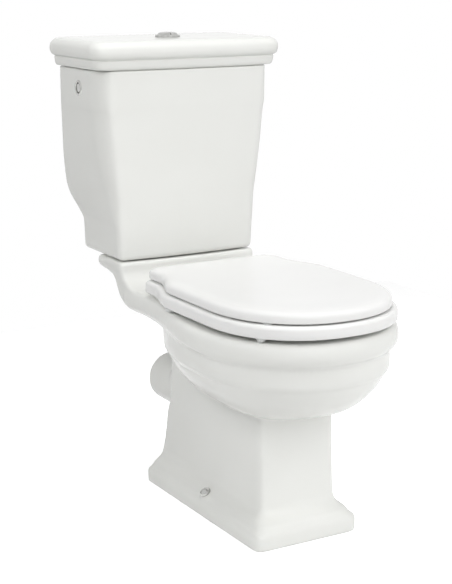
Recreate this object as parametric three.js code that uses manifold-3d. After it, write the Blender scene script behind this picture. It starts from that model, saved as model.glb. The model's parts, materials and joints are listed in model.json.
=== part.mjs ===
// A close coupled toilet: pan, cistern, dual flush mechanism, fill valve and hinged seat.
// Millimetres, +Z up. The front faces -Y and +X is on the right of someone facing the wall.
// The origin is on the floor, under the middle of the whole object's box. Places from back to
// front are given as a distance from the plane that touches the wall side of the cistern lid.

import * as THREE from 'three';
import Module from 'manifold-3d';
import { mergeVertices } from 'three/addons/utils/BufferGeometryUtils.js';

const wasm = await Module();
wasm.setup();

// ---- driving dimensions ----
const DEPTH = 764;              // wall plane to the front of the rim
const GAP = 0.3;                // left between faces that touch

const RIM_Z = 400;              // top of the pan's rim
const RIM = { half: 190.5, front: 764, middle: 560, waist: 150, waistFrom: 268 };
const BAND_Z = 359;             // underside of the rim band and of the neck behind it
const DECK = { z: 446, half: 151, front: 202, back: 91, bow: 6 };
const COLUMN = { half: 77, front: 604, back: 250 };
const PLINTH = { half: 109, front: 643, back: 217, height: 31.6 };
const SPIGOT = { z: 180, end: 117, radius: 50 };
const TRAP_BORE = 38;

const CISTERN = { bottom: 449, top: 814.4, half: 185.5, back: 9, wall: 9, floor: 12, bow: 6 };
const LID = { bottom: 816.5, top: 870.5, half: 205, front: 223, back: 0, bow: 6 };
const INLET = { z: 776, fromWall: 91, hole: 11.5 };

const VALVE = { fromWall: 140, tail: 25, bore: 20, hole: 27 };
const BOLT = { x: 85, fromWall: 128, radius: 4 };
const BUTTON = { fromWall: 120, radius: 19.6, split: -3, rodX: 12, travel: 6 };
const LEVER = { z: 722, pivot: 134, x: 19, thick: 5 };
const ARM = { pivotX: 104, pivotZ: 766, length: 190, droop: THREE.MathUtils.degToRad(25) };

const HINGE = { fromWall: 298, z: 422.5, x: 77.5, pin: 3 };
const RING = { half: 175.5, front: 764, back: 288.5, tail: 150, bottom: 408.5, top: 431.5 };
const SEAT_LID = { half: 168.5, front: 757, back: 283, tail: 141, bottom: 434, top: 454 };
const FIXING = { x: 96, z: 44.5, fromWall: 437, tilt: THREE.MathUtils.degToRad(58) };

// ---- materials ----
const FINISH = {
  ceramic: [0xf2f2ef, 0.08, 0],
  seat: [0xf6f6f4, 0.2, 0],
  chrome: [0xc4c6c4, 0.12, 1],
  steel: [0xa9aaa8, 0.35, 1],
  brass: [0xb5964e, 0.35, 1],
  plastic: [0xe6e7e5, 0.45, 0],
  grey: [0x8f9596, 0.5, 0],
  blue: [0x4c6f9a, 0.5, 0],
  rubber: [0x26282a, 0.8, 0],
  buffer: [0xdedfdc, 0.6, 0],
};

function finish(name) {
  const [color, roughness, metalness] = FINISH[name];
  return new THREE.MeshStandardMaterial({ color, roughness, metalness });
}

// ---- solids ----
const at = (fromWall) => DEPTH / 2 - fromWall;
const point = (x, fromWall, z) => new THREE.Vector3(x, at(fromWall), z);

function solidOf(geometry) {
  const bare = geometry.clone();
  bare.deleteAttribute('normal');
  bare.deleteAttribute('uv');
  const merged = mergeVertices(bare, 1e-3);
  return new wasm.Manifold(new wasm.Mesh({
    numProp: 3,
    vertProperties: new Float32Array(merged.attributes.position.array),
    triVerts: new Uint32Array(merged.index.array),
  }));
}

function geometryOf(solid) {
  const mesh = solid.getMesh();
  const geometry = new THREE.BufferGeometry();
  geometry.setAttribute('position', new THREE.BufferAttribute(mesh.vertProperties, 3));
  geometry.setIndex(new THREE.BufferAttribute(mesh.triVerts, 1));
  geometry.computeVertexNormals();
  return geometry;
}

const join = (first, ...others) => others.reduce((whole, other) => whole.add(other), first);
const cut = (first, ...others) => others.reduce((whole, other) => whole.subtract(other), first);

// A closed skin over rings of points, each ring counter-clockwise seen from where the rings go.
function skin(rings) {
  const count = rings[0].length;
  const middle = (ring) => ring.reduce((sum, p) => sum.add(p), new THREE.Vector3()).divideScalar(count);
  const points = [...rings.flat(), middle(rings[0]), middle(rings.at(-1))];
  const [low, high] = [points.length - 2, points.length - 1];
  const index = [];
  for (let i = 0; i < count; i++) {
    const next = (i + 1) % count;
    const last = (rings.length - 1) * count;
    index.push(low, next, i, high, last + i, last + next);
    for (let row = 0; row < last; row += count) {
      index.push(row + i, row + next, row + count + next);
      index.push(row + i, row + count + next, row + count + i);
    }
  }
  const geometry = new THREE.BufferGeometry().setFromPoints(points);
  geometry.setIndex(index);
  return solidOf(geometry);
}

// Level sections stacked upwards: each is [z, half outline], mirrored about x = 0.
function loft(sections) {
  return skin(sections.map(([z, half]) => {
    const right = half.map(([x, fromWall]) => point(x, fromWall, z));
    const left = half.slice(1, -1).reverse().map(([x, fromWall]) => point(-x, fromWall, z));
    return [...right, ...left];
  }));
}

// A round bar through points on the plane x = 0, given as [distance from wall, z].
function pipe(path, radius, sides = 16) {
  const curve = new THREE.CatmullRomCurve3(path.map(([w, z]) => point(0, w, z)), false, 'centripetal');
  const steps = path.length - 1;
  const rings = [];
  for (let i = 0; i <= steps; i++) {
    const centre = curve.getPointAt(i / steps);
    const across = new THREE.Vector3(1, 0, 0);
    const up = new THREE.Vector3().crossVectors(curve.getTangentAt(i / steps), across);
    rings.push(Array.from({ length: sides }, (_, k) => {
      const turn = (2 * Math.PI * k) / sides;
      return centre.clone().addScaledVector(across, radius * Math.cos(turn))
        .addScaledVector(up, radius * Math.sin(turn));
    }));
  }
  return skin(rings);
}

function bar(from, to, radius, sides = 20, endRadius = radius) {
  const length = from.distanceTo(to);
  const geometry = new THREE.CylinderGeometry(endRadius, radius, length, sides);
  const up = new THREE.Vector3(0, 1, 0);
  const along = to.clone().sub(from).normalize();
  geometry.applyQuaternion(new THREE.Quaternion().setFromUnitVectors(up, along));
  geometry.translate(...from.clone().add(to).multiplyScalar(0.5).toArray());
  return solidOf(geometry);
}

const post = (x, fromWall, low, high, radius, sides = 20, topRadius = radius) =>
  bar(point(x, fromWall, low), point(x, fromWall, high), radius, sides, topRadius);
const crossbar = (x0, x1, fromWall, z, radius, sides = 20) =>
  bar(point(x0, fromWall, z), point(x1, fromWall, z), radius, sides);

function block(x0, x1, w0, w1, z0, z1) {
  const geometry = new THREE.BoxGeometry(x1 - x0, w1 - w0, z1 - z0);
  geometry.translate((x0 + x1) / 2, at((w0 + w1) / 2), (z0 + z1) / 2);
  return solidOf(geometry);
}

// A flat profile of [distance from wall, z] carried from x0 to x1.
function slab(profile, x0, x1) {
  const shape = new THREE.Shape(profile.map(([w, z]) => new THREE.Vector2(at(w), z)));
  const geometry = new THREE.ExtrudeGeometry(shape, { depth: x1 - x0, bevelEnabled: false });
  const turned = new THREE.Matrix4().set(0, 0, 1, x0, 1, 0, 0, 0, 0, 1, 0, 0, 0, 0, 0, 1);
  return solidOf(geometry.applyMatrix4(turned));
}

// A flat profile of [x, z] carried from one distance from the wall to another.
function plate(profile, w0, w1) {
  const shape = new THREE.Shape(profile.map(([x, z]) => new THREE.Vector2(x, z)));
  const geometry = new THREE.ExtrudeGeometry(shape, { depth: w1 - w0, bevelEnabled: false });
  const turned = new THREE.Matrix4().set(1, 0, 0, 0, 0, 0, -1, at(w0), 0, 1, 0, 0, 0, 0, 0, 1);
  return solidOf(geometry.applyMatrix4(turned));
}

// A round solid about the vertical through (x, fromWall), from a profile of [radius, z].
function turned(x, fromWall, profile, sides = 24) {
  const outline = profile.map(([radius, z]) => new THREE.Vector2(radius, z));
  const geometry = new THREE.LatheGeometry([...outline, outline[0]], sides);
  geometry.rotateX(Math.PI / 2);
  geometry.translate(x, at(fromWall), 0);
  const made = solidOf(geometry);
  return made.volume() > 0 ? made : solidOf(flipped(geometry));
}

function flipped(geometry) {
  const index = geometry.index.array;
  for (let i = 0; i < index.length; i += 3) [index[i], index[i + 1]] = [index[i + 1], index[i]];
  return geometry;
}

// ---- half outlines, from the front middle to the back middle ----
function arc(steps, make) {
  return Array.from({ length: steps + 1 }, (_, i) => make((i / steps) * (Math.PI / 2)));
}

// An egg: the front and back halves meet at the widest place, the middle.
function egg({ half, front, back, middle, power = 2, backPower = power, steps = 8 }) {
  const bend = (value, p) => Math.max(value, 0) ** (2 / p);
  const fore = arc(steps, (a) => [half * bend(Math.sin(a), power),
    middle + (front - middle) * bend(Math.cos(a), power)]);
  const aft = arc(steps, (a) => [half * bend(Math.cos(a), backPower),
    middle - (middle - back) * bend(Math.sin(a), backPower)]);
  fore[0][0] = 0;
  aft.at(-1)[0] = 0;
  return [...fore, ...aft.slice(1)];
}

// A rounded box. It may bow out in front and be wider or narrower at the back.
function box({ half, front, back, fore = 12, aft = 12, steps = 3, bow = 0, aftHalf = half }) {
  const across = bow ? [0, 0.4, 0.75] : [0];
  return [...across.map((part) => [part * (half - fore), front + bow * (1 - part ** 2)]),
    ...arc(steps, (a) => [half - fore + fore * Math.sin(a), front - fore + fore * Math.cos(a)]),
    ...arc(steps, (a) => [aftHalf - aft + aft * Math.cos(a), back + aft - aft * Math.sin(a)]),
    [0, back]];
}

// Round in front, then drawn in with an S curve to a narrower straight tail.
function tailed({ half, front, middle, tail, sideEnd, tailFrom, back, power = 2, corner = 14 }, inset = 0) {
  const bend = (value) => Math.max(value, 0) ** (2 / power);
  const fore = arc(11, (a) => [(half - inset) * bend(Math.sin(a)),
    middle + (front - inset - middle) * bend(Math.cos(a))]);
  fore[0][0] = 0;
  const steps = 6;
  const sway = Array.from({ length: steps + 1 }, (_, i) => [
    tail - inset + (half - tail) * (1 + Math.cos((Math.PI * i) / steps)) / 2,
    sideEnd - ((sideEnd - tailFrom) * i) / steps]);
  const edge = tail - inset;
  const end = arc(4, (a) => [edge - corner + corner * Math.cos(a),
    back + inset + corner - corner * Math.sin(a)]);
  return [...fore, ...sway.slice(sideEnd < middle ? 0 : 1), ...end, [0, back + inset]];
}

const rimOutline = (inset) => tailed({ ...RIM, tail: RIM.waist, sideEnd: RIM.middle,
  tailFrom: RIM.waistFrom, back: 205, corner: 4, power: 2.12 }, inset);
const ringOutline = (inset) => tailed({ ...RING, middle: 575, sideEnd: 440, tailFrom: 325,
  power: 2.25, corner: 22 }, inset);
const lidOutline = (inset) => tailed({ ...SEAT_LID, middle: 575, sideEnd: 440, tailFrom: 340,
  power: 2.15, corner: 26 }, inset);

// ---- pan ----
function panBody() {
  const rim = loft([[BAND_Z - 2, rimOutline(12)], [BAND_Z + 4, rimOutline(5)],
    [BAND_Z + 11, rimOutline(1.2)], [378, rimOutline(0)], [386, rimOutline(0.8)],
    [RIM_Z - 7, rimOutline(2.4)], [RIM_Z - 2.5, rimOutline(5.6)], [RIM_Z, rimOutline(10)]]);
  const bowlEgg = (z, half, front, back, power = 2.3, middle = 545) =>
    [z, egg({ half, front, back, middle, power, backPower: Math.max(power, 2.3) })];
  const bowl = loft([
    bowlEgg(228, 79, 604, 302, 4, 490), bowlEgg(233, 86, 628, 298, 3.2, 510),
    bowlEgg(238, 96, 652, 294, 2.6, 530), bowlEgg(245, 109, 675, 291, 2.3, 545),
    bowlEgg(253, 121, 692, 288, 2.25, 550), bowlEgg(262, 131, 704, 284), bowlEgg(273, 142, 716, 279),
    bowlEgg(287, 153, 728, 273), bowlEgg(302, 161.5, 737, 267), bowlEgg(312, 166, 741.5, 265),
    bowlEgg(318, 172.5, 746, 262), bowlEgg(326, 174.5, 747.5, 260, 2.2, RIM.middle),
    bowlEgg(340, 176, 749, 259, 2.15, RIM.middle), bowlEgg(356, 176, 749.5, 258, 2.15, RIM.middle),
    bowlEgg(372, 174.5, 747.5, 262, 2.15, RIM.middle)]);
  const neckBox = (z, half, front, back, bow = 0) =>
    [z, box({ half, front, back, bow: bow + 0.01, fore: 6, aft: 14, steps: 2 })];
  const neck = loft([
    neckBox(BAND_Z, 141, 250, 212), neckBox(366, 146, 250, 198), neckBox(372, 147, 250, 186),
    neckBox(381, 147, 250, 175), neckBox(395, 147, 250, 166), neckBox(RIM_Z, 147, 242, 164),
    neckBox(405, 147.5, 226, 162, 1), neckBox(412, 148, 214, 158, 3), neckBox(418, 148.5, 208, 147, 4),
    neckBox(423, 149, 205, 117, 5), neckBox(427, 150, 203, 94, 6),
    neckBox(431, DECK.half, DECK.front, DECK.back, DECK.bow),
    neckBox(440, DECK.half, DECK.front, DECK.back, DECK.bow),
    neckBox(DECK.z, DECK.half - 3, DECK.front - 3, DECK.back + 3, DECK.bow)]);
  // [height, spread at the sides and front, distance of the back from the wall]
  const column = loft([
    ...[[0, 1.5], [2, 0], [PLINTH.height - 6, 0], [PLINTH.height - 2, 1.3], [PLINTH.height, 4]]
      .map(([z, inset]) => [z, box({ half: PLINTH.half - inset, front: PLINTH.front - inset,
        back: PLINTH.back + inset, fore: 19, aft: 8 })]),
    ...[[36, 22.5, 221], [42, 20, 222], [48, 13, 223], [56, 6, 226], [64, 3.4, 228], [76, 2.6, 232],
      [92, 2, 237], [120, 1.2, 243], [150, 0.6, 247], [190, 0, COLUMN.back], [262, 0, COLUMN.back]]
      .map(([z, spread, back]) => [z, box({ half: COLUMN.half + spread,
        front: COLUMN.front + spread * 1.5, back, fore: 12 + spread * 0.5, aft: 8 })])]);
  const inletBoss = post(0, VALVE.fromWall, 392, 436, 53, 32);
  const trap = pipe(TRAP_PATH.slice(3, -1), TRAP_BORE + 11);
  const spigot = bar(point(0, SPIGOT.end, SPIGOT.z), point(0, 250, SPIGOT.z), SPIGOT.radius, 28);
  return join(cut(join(rim, bowl, neck, column, inletBoss), pedestalHollow()), bowlWall(), trap, spigot,
    ...[-1, 1].map(fixingPad));
}

// The water way: out of the sump, up over the weir and down to the spigot.
const TRAP_PATH = [[462, 142], [430, 135], [395, 145], [362, 175], [335, 215], [312, 250],
  [288, 268], [262, 262], [243, 238], [228, 205], [205, 184], [172, SPIGOT.z], [100, SPIGOT.z]];

function panHollows() {
  const inside = (z, half, front, back, middle = 530) => [z, egg({ half, front, back, middle })];
  const bowl = loft([
    inside(98, 22, 478, 440, 459), inside(112, 35, 492, 428, 462), inside(135, 43, 506, 422, 468),
    inside(162, 49, 524, 415, 478), inside(190, 54, 550, 404, 488), inside(215, 59, 580, 392, 500),
    inside(240, 68, 616, 375, 515), inside(256, 84, 645, 362), inside(270, 103, 671, 352),
    inside(285, 121, 690, 345), inside(300, 134, 704, 338), inside(320, 147, 718, 330),
    inside(350, 155, 727, 324), inside(362, 149, 722, 327), inside(367, 133, 707, 337),
    inside(RIM_Z + 2, 133, 707, 337)]);
  const wayIn = post(0, VALVE.fromWall, 424, DECK.z + 2, 42, 32);
  const drop = post(0, VALVE.fromWall, 378, 426, 29, 24);
  const channel = block(-30, 30, 125, 345, 373, 391);
  const rimDuct = cut(
    loft([RIM_Z - 29, RIM_Z - 9].map((z) => [z, egg({ half: 176, front: 747, back: 325,
      middle: RIM.middle, backPower: 2.3 })])),
    loft([RIM_Z - 30, RIM_Z - 8].map((z) => [z, egg({ half: 144, front: 718, back: 327, middle: 530 })])));
  const neckPockets = [-1, 1].map((side) => {
    const [inner, outer] = [44 * side, 132 * side].sort((a, b) => a - b);
    return block(inner, outer, 216, 312, BAND_Z - 20, 384);
  });
  const seatHoles = [-1, 1].map((side) => post(side * HINGE.x, HINGE.fromWall, 380, 402, 6.5, 16));
  const boltHoles = [-1, 1].map((side) => post(side * BOLT.x, BOLT.fromWall, 410, DECK.z + 2, 6, 16));
  const screwHoles = [-1, 1].map((side) => join(bar(fixingPoint(side, -6), fixingPoint(side, 30), 3.6, 12),
    bar(fixingPoint(side, -12), fixingPoint(side, 0), 11.2, 20)));
  return [bowl, pipe(TRAP_PATH, TRAP_BORE), wayIn, drop, channel, rimDuct,
    ...neckPockets, ...seatHoles, ...boltHoles, ...screwHoles];
}

// The pedestal is an open shell from the floor up to the underside of the bowl's slope.
function pedestalHollow() {
  const wall = 11;
  const inner = (z, spread, back) => [z, box({ half: COLUMN.half + spread - wall,
    front: COLUMN.front + spread - wall, back: back + wall, fore: 8, aft: 4, steps: 2 })];
  const column = loft([...[-2, 20].map((z) => [z, box({ half: PLINTH.half - wall - 1,
    front: PLINTH.front - wall - 1, back: PLINTH.back + wall, fore: 14, aft: 4, steps: 2 })]),
    inner(25, 17, 222), inner(60, 6, 227), inner(86, 2.5, 236), inner(135, 1, 246),
    inner(190, 0, COLUMN.back), inner(246, 0, COLUMN.back)]);
  const underBowl = loft([[241, 96, 664, 304, 530], [250, 108, 680, 301, 545], [262, 121, 695, 297, 555],
    [278, 134, 708, 292, 560], [292, 144, 717, 286, 560]].map(([z, half, front, back, middle]) =>
    [z, egg({ half, front, back, middle, power: 2.1, backPower: 2.3, steps: 5 })]));
  return join(column, underBowl);
}

// The bowl's own wall where it stands inside that shell.
const bowlWall = () => loft([[86, 30, 486, 432, 459], [101, 46, 503, 417, 462], [135, 56, 517, 411, 468],
  [162, 63, 536, 403, 478], [190, 67, 562, 392, 488], [215, 72, 592, 380, 500],
  [240, 82, 628, 363, 515], [256, 98, 657, 350, 530], [270, 117, 683, 340, 530],
  [285, 135, 702, 333, 530], [298, 146, 714, 327, 530]].map(([z, half, front, back, middle]) =>
  [z, egg({ half, front, back, middle, steps: 6 })]));

const pan = () => cut(panBody(), ...panHollows());

// ---- side fixings: a screw driven inwards and down through the plinth's moulding ----
// Depth is measured inwards from the face of the pad.
function fixingPoint(side, depth) {
  return point(side * (FIXING.x - depth * Math.cos(FIXING.tilt)), FIXING.fromWall,
    FIXING.z - depth * Math.sin(FIXING.tilt));
}

const fixingPad = (side) => bar(fixingPoint(side, 20), fixingPoint(side, 0), 14, 20);

function fixingScrew(side) {
  return join(bar(fixingPoint(side, 46), fixingPoint(side, -1), 2.5, 10),
    bar(fixingPoint(side, -GAP), fixingPoint(side, -3), 6, 16, 3.5));
}

function fixingCap(side) {
  const shell = join(bar(fixingPoint(side, -GAP), fixingPoint(side, -3), 10.5, 20),
    bar(fixingPoint(side, -3), fixingPoint(side, -5.5), 10.5, 20, 5.5));
  return cut(shell, bar(fixingPoint(side, 1), fixingPoint(side, -3.5), 7, 16));
}

function floorBracket(side) {
  const tab = bar(fixingPoint(side, 40), fixingPoint(side, 36), 11, 16);
  const leg = plate([[22, GAP], [86, GAP], [86, 5], [66, 17.5], [60, 17.5], [58, 4.5], [22, 4.5]]
    .map(([x, z]) => [side * x, z])[side > 0 ? 'slice' : 'reverse'](), FIXING.fromWall - 9, FIXING.fromWall + 9);
  return cut(join(leg, tab), bar(fixingPoint(side, 60), fixingPoint(side, 30), 2.9, 12));
}

// ---- cistern ----
// [z, half width in front, front, back, front corner radius, half width at the back]
const CISTERN_SHAPE = [[458, 149.3, 199, 27, 12, 148], [508, 152, 200.5, 27, 12, 150],
  [528, 154.5, 201, 21, 14, 156], [548, 157.5, 202, 13, 18, 165], [566, 160.5, 202, 9, 20, 172],
  [590, 165, 203, 7, 23, 177.5], [640, 173, 204, 7, 27, 182], [685, 178.5, 205, 8, 28, 183.5],
  [730, 182.5, 206, 9, 28, 185], [750, CISTERN.half, 207, CISTERN.back, 28, CISTERN.half],
  [CISTERN.top, CISTERN.half, 208, CISTERN.back, 28, CISTERN.half]];

const cisternBox = (z, [, half, front, back, fore, aftHalf], inset = 0) => [z, box({
  half: half - inset, front: front - inset, back: back + inset, bow: CISTERN.bow,
  fore: Math.max(fore - inset, 3), aft: Math.max(10 - inset, 4), aftHalf: aftHalf - inset })];

function cisternBody() {
  const [lowest, ...above] = CISTERN_SHAPE.slice(0, -1);
  const mouth = CISTERN_SHAPE.at(-1);
  const outer = loft([cisternBox(CISTERN.bottom, lowest, 7), cisternBox(452, lowest, 2.5),
    cisternBox(458, lowest), ...above.map((row) => cisternBox(row[0], row)),
    cisternBox(CISTERN.top - 2, mouth), cisternBox(CISTERN.top, mouth, 1.5)]);
  const floorZ = CISTERN.bottom + CISTERN.floor;
  const inner = loft([cisternBox(floorZ, lowest, CISTERN.wall + 4),
    cisternBox(floorZ + 6, lowest, CISTERN.wall), ...above.map((row) => cisternBox(row[0], row, CISTERN.wall)),
    cisternBox(CISTERN.top + 2, mouth, CISTERN.wall)]);
  return cut(outer, inner, post(0, VALVE.fromWall, 440, 470, VALVE.hole, 24),
    ...[-1, 1].map((side) => post(side * BOLT.x, BOLT.fromWall, 440, 470, 5.5, 12)),
    crossbar(-195, 195, INLET.fromWall, INLET.z, INLET.hole, 18));
}

function cisternLid() {
  const outline = (z, inset) => [z, box({ half: LID.half - inset, front: LID.front - inset,
    back: LID.back + Math.min(inset, 4) + Math.max(inset - 12, 0), bow: LID.bow,
    fore: 30 - Math.min(inset, 12) / 2, aft: 16 })];
  const shell = loft([outline(LID.bottom, 13), outline(818.5, 11), outline(822, 9.4),
    outline(832, 7.8), outline(834, 9), outline(835.5, 8), outline(838, 3.8), outline(842, 1.4),
    outline(849, 0), outline(856, 0.4), outline(863, 3.6), outline(868, 10), outline(LID.top, 24)]);
  const mouth = CISTERN_SHAPE.at(-1);
  const ledge = loft([CISTERN.top + GAP, 820].map((z) => cisternBox(z, mouth, 4)));
  const locator = loft([806, 820].map((z) => cisternBox(z, mouth, CISTERN.wall + 2)));
  const mouthHollow = loft([800, 830].map((z) => cisternBox(z, mouth, CISTERN.wall + 8)));
  const hollow = loft([outline(825, 24), outline(838, 19), outline(847, 13), outline(857, 13)]);
  return cut(join(shell, ledge, locator), mouthHollow, hollow, post(0, BUTTON.fromWall, 800, 880, 22.9, 24));
}

// ---- cistern to pan coupling ----
const doughnutSeal = () => turned(0, VALVE.fromWall,
  [[34, 424 + GAP], [39, 424 + GAP], [41, 430], [41, 443], [38.5, CISTERN.bottom - GAP],
    [34, CISTERN.bottom - GAP]], 28);

const couplingBolt = (side) => cut(
  join(post(side * BOLT.x, BOLT.fromWall, 404, 466, BOLT.radius, 14),
    turned(side * BOLT.x, BOLT.fromWall, [[0, 465.5], [9, 465.5], [9, 467.5], [5.5, 470], [0, 470]], 16)),
  block(side * BOLT.x - 10, side * BOLT.x + 10, BOLT.fromWall - 0.8, BOLT.fromWall + 0.8, 468.2, 471));
const boltSeal = (side) => turned(side * BOLT.x, BOLT.fromWall,
  [[4.6, 461 + GAP], [10, 461 + GAP], [8.5, 465.2], [4.6, 465.2]], 16);
const deckWasher = (side) => turned(side * BOLT.x, BOLT.fromWall,
  [[4.6, 416.2], [12, 416.2], [12, 418.2], [4.6, 418.2]], 18);

function wingNut(side) {
  const [x, w] = [side * BOLT.x, BOLT.fromWall];
  const wings = slab([[w - 5, 408], [w + 5, 408], [w + 14, 400], [w + 14, 405], [w + 5, 413],
    [w - 5, 413], [w - 14, 405], [w - 14, 400]], x - 1.5, x + 1.5);
  return cut(join(post(x, w, 407, 416, 7, 16), wings), post(x, w, 395, 420, BOLT.radius + GAP, 14));
}

// ---- flush valve ----
function flushValveBody() {
  const w = VALVE.fromWall;
  const tube = turned(0, w, [[VALVE.bore, 414], [VALVE.tail, 414], [VALVE.tail, 464.5], [37, 464.5],
    [37, 468], [32, 468], [32, 473], [23, 473], [VALVE.bore, 470]], 24);
  const cage = [0, 1, 2, 3].map((k) => {
    const turn = Math.PI / 4 + (k * Math.PI) / 2;
    return post(29 * Math.sin(turn), w + 29 * Math.cos(turn), 467, 690, 3, 6);
  });
  const collar = turned(0, w, [[17, 686], [32, 686], [32, 694], [17, 694]], 20);
  const ear = block(24, 30, LEVER.pivot - 5, LEVER.pivot + 5, 688, LEVER.z + 6);
  const pivot = crossbar(13, 27, LEVER.pivot, LEVER.z, 2, 10);
  const tripGuide = post(-BUTTON.rodX, BUTTON.fromWall, 680, 700, 2.6, 10);
  return cut(join(tube, ...cage, collar, ear, pivot), tripGuide);
}

const valveWasher = () => turned(0, VALVE.fromWall,
  [[VALVE.tail + GAP, 461 + GAP], [36, 461 + GAP], [36, 464.2], [VALVE.tail + GAP, 464.2]], 28);
const valveBacknut = () => cut(
  post(0, VALVE.fromWall, 437, CISTERN.bottom - GAP, 33, 8),
  post(0, VALVE.fromWall, 430, 455, VALVE.tail + GAP, 28));

const overflowTube = () => cut(
  join(post(0, VALVE.fromWall, 475, 742, 13, 20), post(0, VALVE.fromWall, 727.5, 730.5, 19.5, 20),
    post(0, VALVE.fromWall, 479, 482, 24, 24)),
  post(0, VALVE.fromWall, 470, 750, 10.5, 20));
const valveSeal = () => turned(0, VALVE.fromWall,
  [[13.4, 473.4], [26, 473.4], [26, 478.7], [13.4, 478.7]], 24);

// The full flush rod presses the lever's back peg down, and its front peg lifts the tube.
function liftLever() {
  const { pivot, z, x, thick } = LEVER;
  const profile = [[pivot - 18, z - 2], [pivot + 23, z - 2], [pivot + 23, z + 5], [pivot + 17, z + 5],
    [pivot + 14, z + 2], [pivot + 5, z + 2], [pivot + 3, z + 5], [pivot - 3, z + 5], [pivot - 5, z + 2],
    [pivot - 18, z + 2]];
  const arm = slab(profile, x - thick / 2, x + thick / 2);
  const backPeg = crossbar(x - 9, x + 1, BUTTON.fromWall, z, 2.4, 10);
  const frontPeg = crossbar(x - 8, x + 1, pivot + 20, z + 2.5, 2.4, 10);
  return cut(join(arm, backPeg, frontPeg), crossbar(10, 26, pivot, z, 2.4, 12));
}

// The half flush rod pushes this slider down, which lets the valve shut early.
const halfFlushTrip = () => join(
  post(-BUTTON.rodX, BUTTON.fromWall, 640, 722, 2, 10),
  post(-BUTTON.rodX, BUTTON.fromWall, 720, LEVER.z + 2.6, 4, 12));

// ---- push buttons in the cistern lid ----
function buttonBezel() {
  const sleeve = turned(0, BUTTON.fromWall, [[20.2, 848], [22.5, 848], [22.5, LID.top + GAP],
    [24.6, LID.top + GAP], [24.8, 872], [23.4, 874.4], [21.3, 875.2], [20.2, 874.2]], 28);
  const floor = cut(post(0, BUTTON.fromWall, 846, 849, 22, 20),
    ...[-1, 1].map((side) => post(side * BUTTON.rodX, BUTTON.fromWall, 840, 860, 3.6, 12)));
  return join(sleeve, floor);
}

const bezelNut = () => cut(post(0, BUTTON.fromWall, 849, 856.7, 30, 12),
  post(0, BUTTON.fromWall, 845, 860, 22.8, 28));

function pushButton(side) {
  const disc = turned(0, BUTTON.fromWall, [[0, 868], [BUTTON.radius, 868], [BUTTON.radius, 876.6],
    [18.2, 878.4], [14, 879.4], [0, 880]], 32);
  const edge = BUTTON.split + (side * 1) / 2;
  const half = side > 0 ? block(edge, 25, 90, 150, 860, 890) : block(-25, edge, 90, 150, 860, 890);
  const socket = post(side * BUTTON.rodX, BUTTON.fromWall, 860, 873, 3.2, 12);
  return cut(disc.intersect(half), socket);
}

const buttonRod = (side) => post(side * BUTTON.rodX, BUTTON.fromWall, 725, 872.7, 2.9, 10);

class Helix extends THREE.Curve {
  constructor(x, fromWall, low, high, radius, turns) {
    super();
    Object.assign(this, { x, fromWall, low, high, radius, turns });
  }

  getPoint(t) {
    const turn = 2 * Math.PI * this.turns * t;
    return new THREE.Vector3(this.x + this.radius * Math.cos(turn),
      at(this.fromWall) + this.radius * Math.sin(turn), this.low + (this.high - this.low) * t);
  }
}

function buttonSpring(side) {
  const wire = new THREE.Shape(Array.from({ length: 5 }, (_, k) => new THREE.Vector2(
    0.6 * Math.cos((k * 2 * Math.PI) / 5), 0.6 * Math.sin((k * 2 * Math.PI) / 5))));
  const path = new Helix(side * BUTTON.rodX, BUTTON.fromWall, 850, 867, 5, 4);
  return solidOf(new THREE.ExtrudeGeometry(wire, { steps: 36, extrudePath: path, bevelEnabled: false }));
}

// ---- fill valve on the right, blanking cap on the left ----
const SIDE_WALL = CISTERN.half - CISTERN.wall - 0.4;      // inner face of the side wall at the inlet

const FILLER_X = 124;

function fillValveBody() {
  const { fromWall: w, z } = INLET;
  const shank = crossbar(135, LID.half - 1, w, z, 10, 20);
  const flange = crossbar(SIDE_WALL - 7, SIDE_WALL - 3.5, w, z, 18, 20);
  const chamber = crossbar(112, 150, w, z, 14, 20);
  const spout = post(FILLER_X, w, 746, 770, 8, 16);
  const ears = [-1, 1].map((side) => slab([[w + side * 8, 758], [w + side * 11, 758],
    [w + side * 11, 784], [w + side * 8, 784]][side > 0 ? 'slice' : 'reverse'](), 98, 122));
  const pivot = bar(point(ARM.pivotX, w - 10, ARM.pivotZ), point(ARM.pivotX, w + 10, ARM.pivotZ), 1.8, 10);
  const bore = crossbar(130, LID.half, w, z, 5.5, 16);
  const pistonBore = crossbar(100, 131, w, z, 4.2, 14);
  const drain = post(FILLER_X, w, 740, z, 5, 14);
  return cut(join(cut(join(shank, flange, chamber, spout, ...ears), pistonBore), pivot), bore, drain);
}

const inletWasher = () => cut(crossbar(SIDE_WALL - 3.2, SIDE_WALL - GAP, INLET.fromWall, INLET.z, 18, 20),
  crossbar(160, 180, INLET.fromWall, INLET.z, 10.4, 20));
const inletNut = () => cut(crossbar(CISTERN.half + GAP, CISTERN.half + 8, INLET.fromWall, INLET.z, 16.5, 6),
  crossbar(170, 195, INLET.fromWall, INLET.z, 10.3, 20));
const fillerTube = () => cut(post(FILLER_X, INLET.fromWall, 520, 756, 10, 16),
  post(FILLER_X, INLET.fromWall, 510, 780, 8.3, 16));
const valvePiston = () => join(crossbar(107.4, 124, INLET.fromWall, INLET.z, 3.8, 12),
  crossbar(105.6, 107.5, INLET.fromWall, INLET.z, 2.4, 12));

// The arm hangs down by its droop when the cistern is empty. Distances run along the arm.
function armPoint(along, across = 0, aside = 0) {
  return point(ARM.pivotX - along * Math.cos(ARM.droop) - across * Math.sin(ARM.droop),
    INLET.fromWall + aside, ARM.pivotZ - along * Math.sin(ARM.droop) + across * Math.cos(ARM.droop));
}

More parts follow.
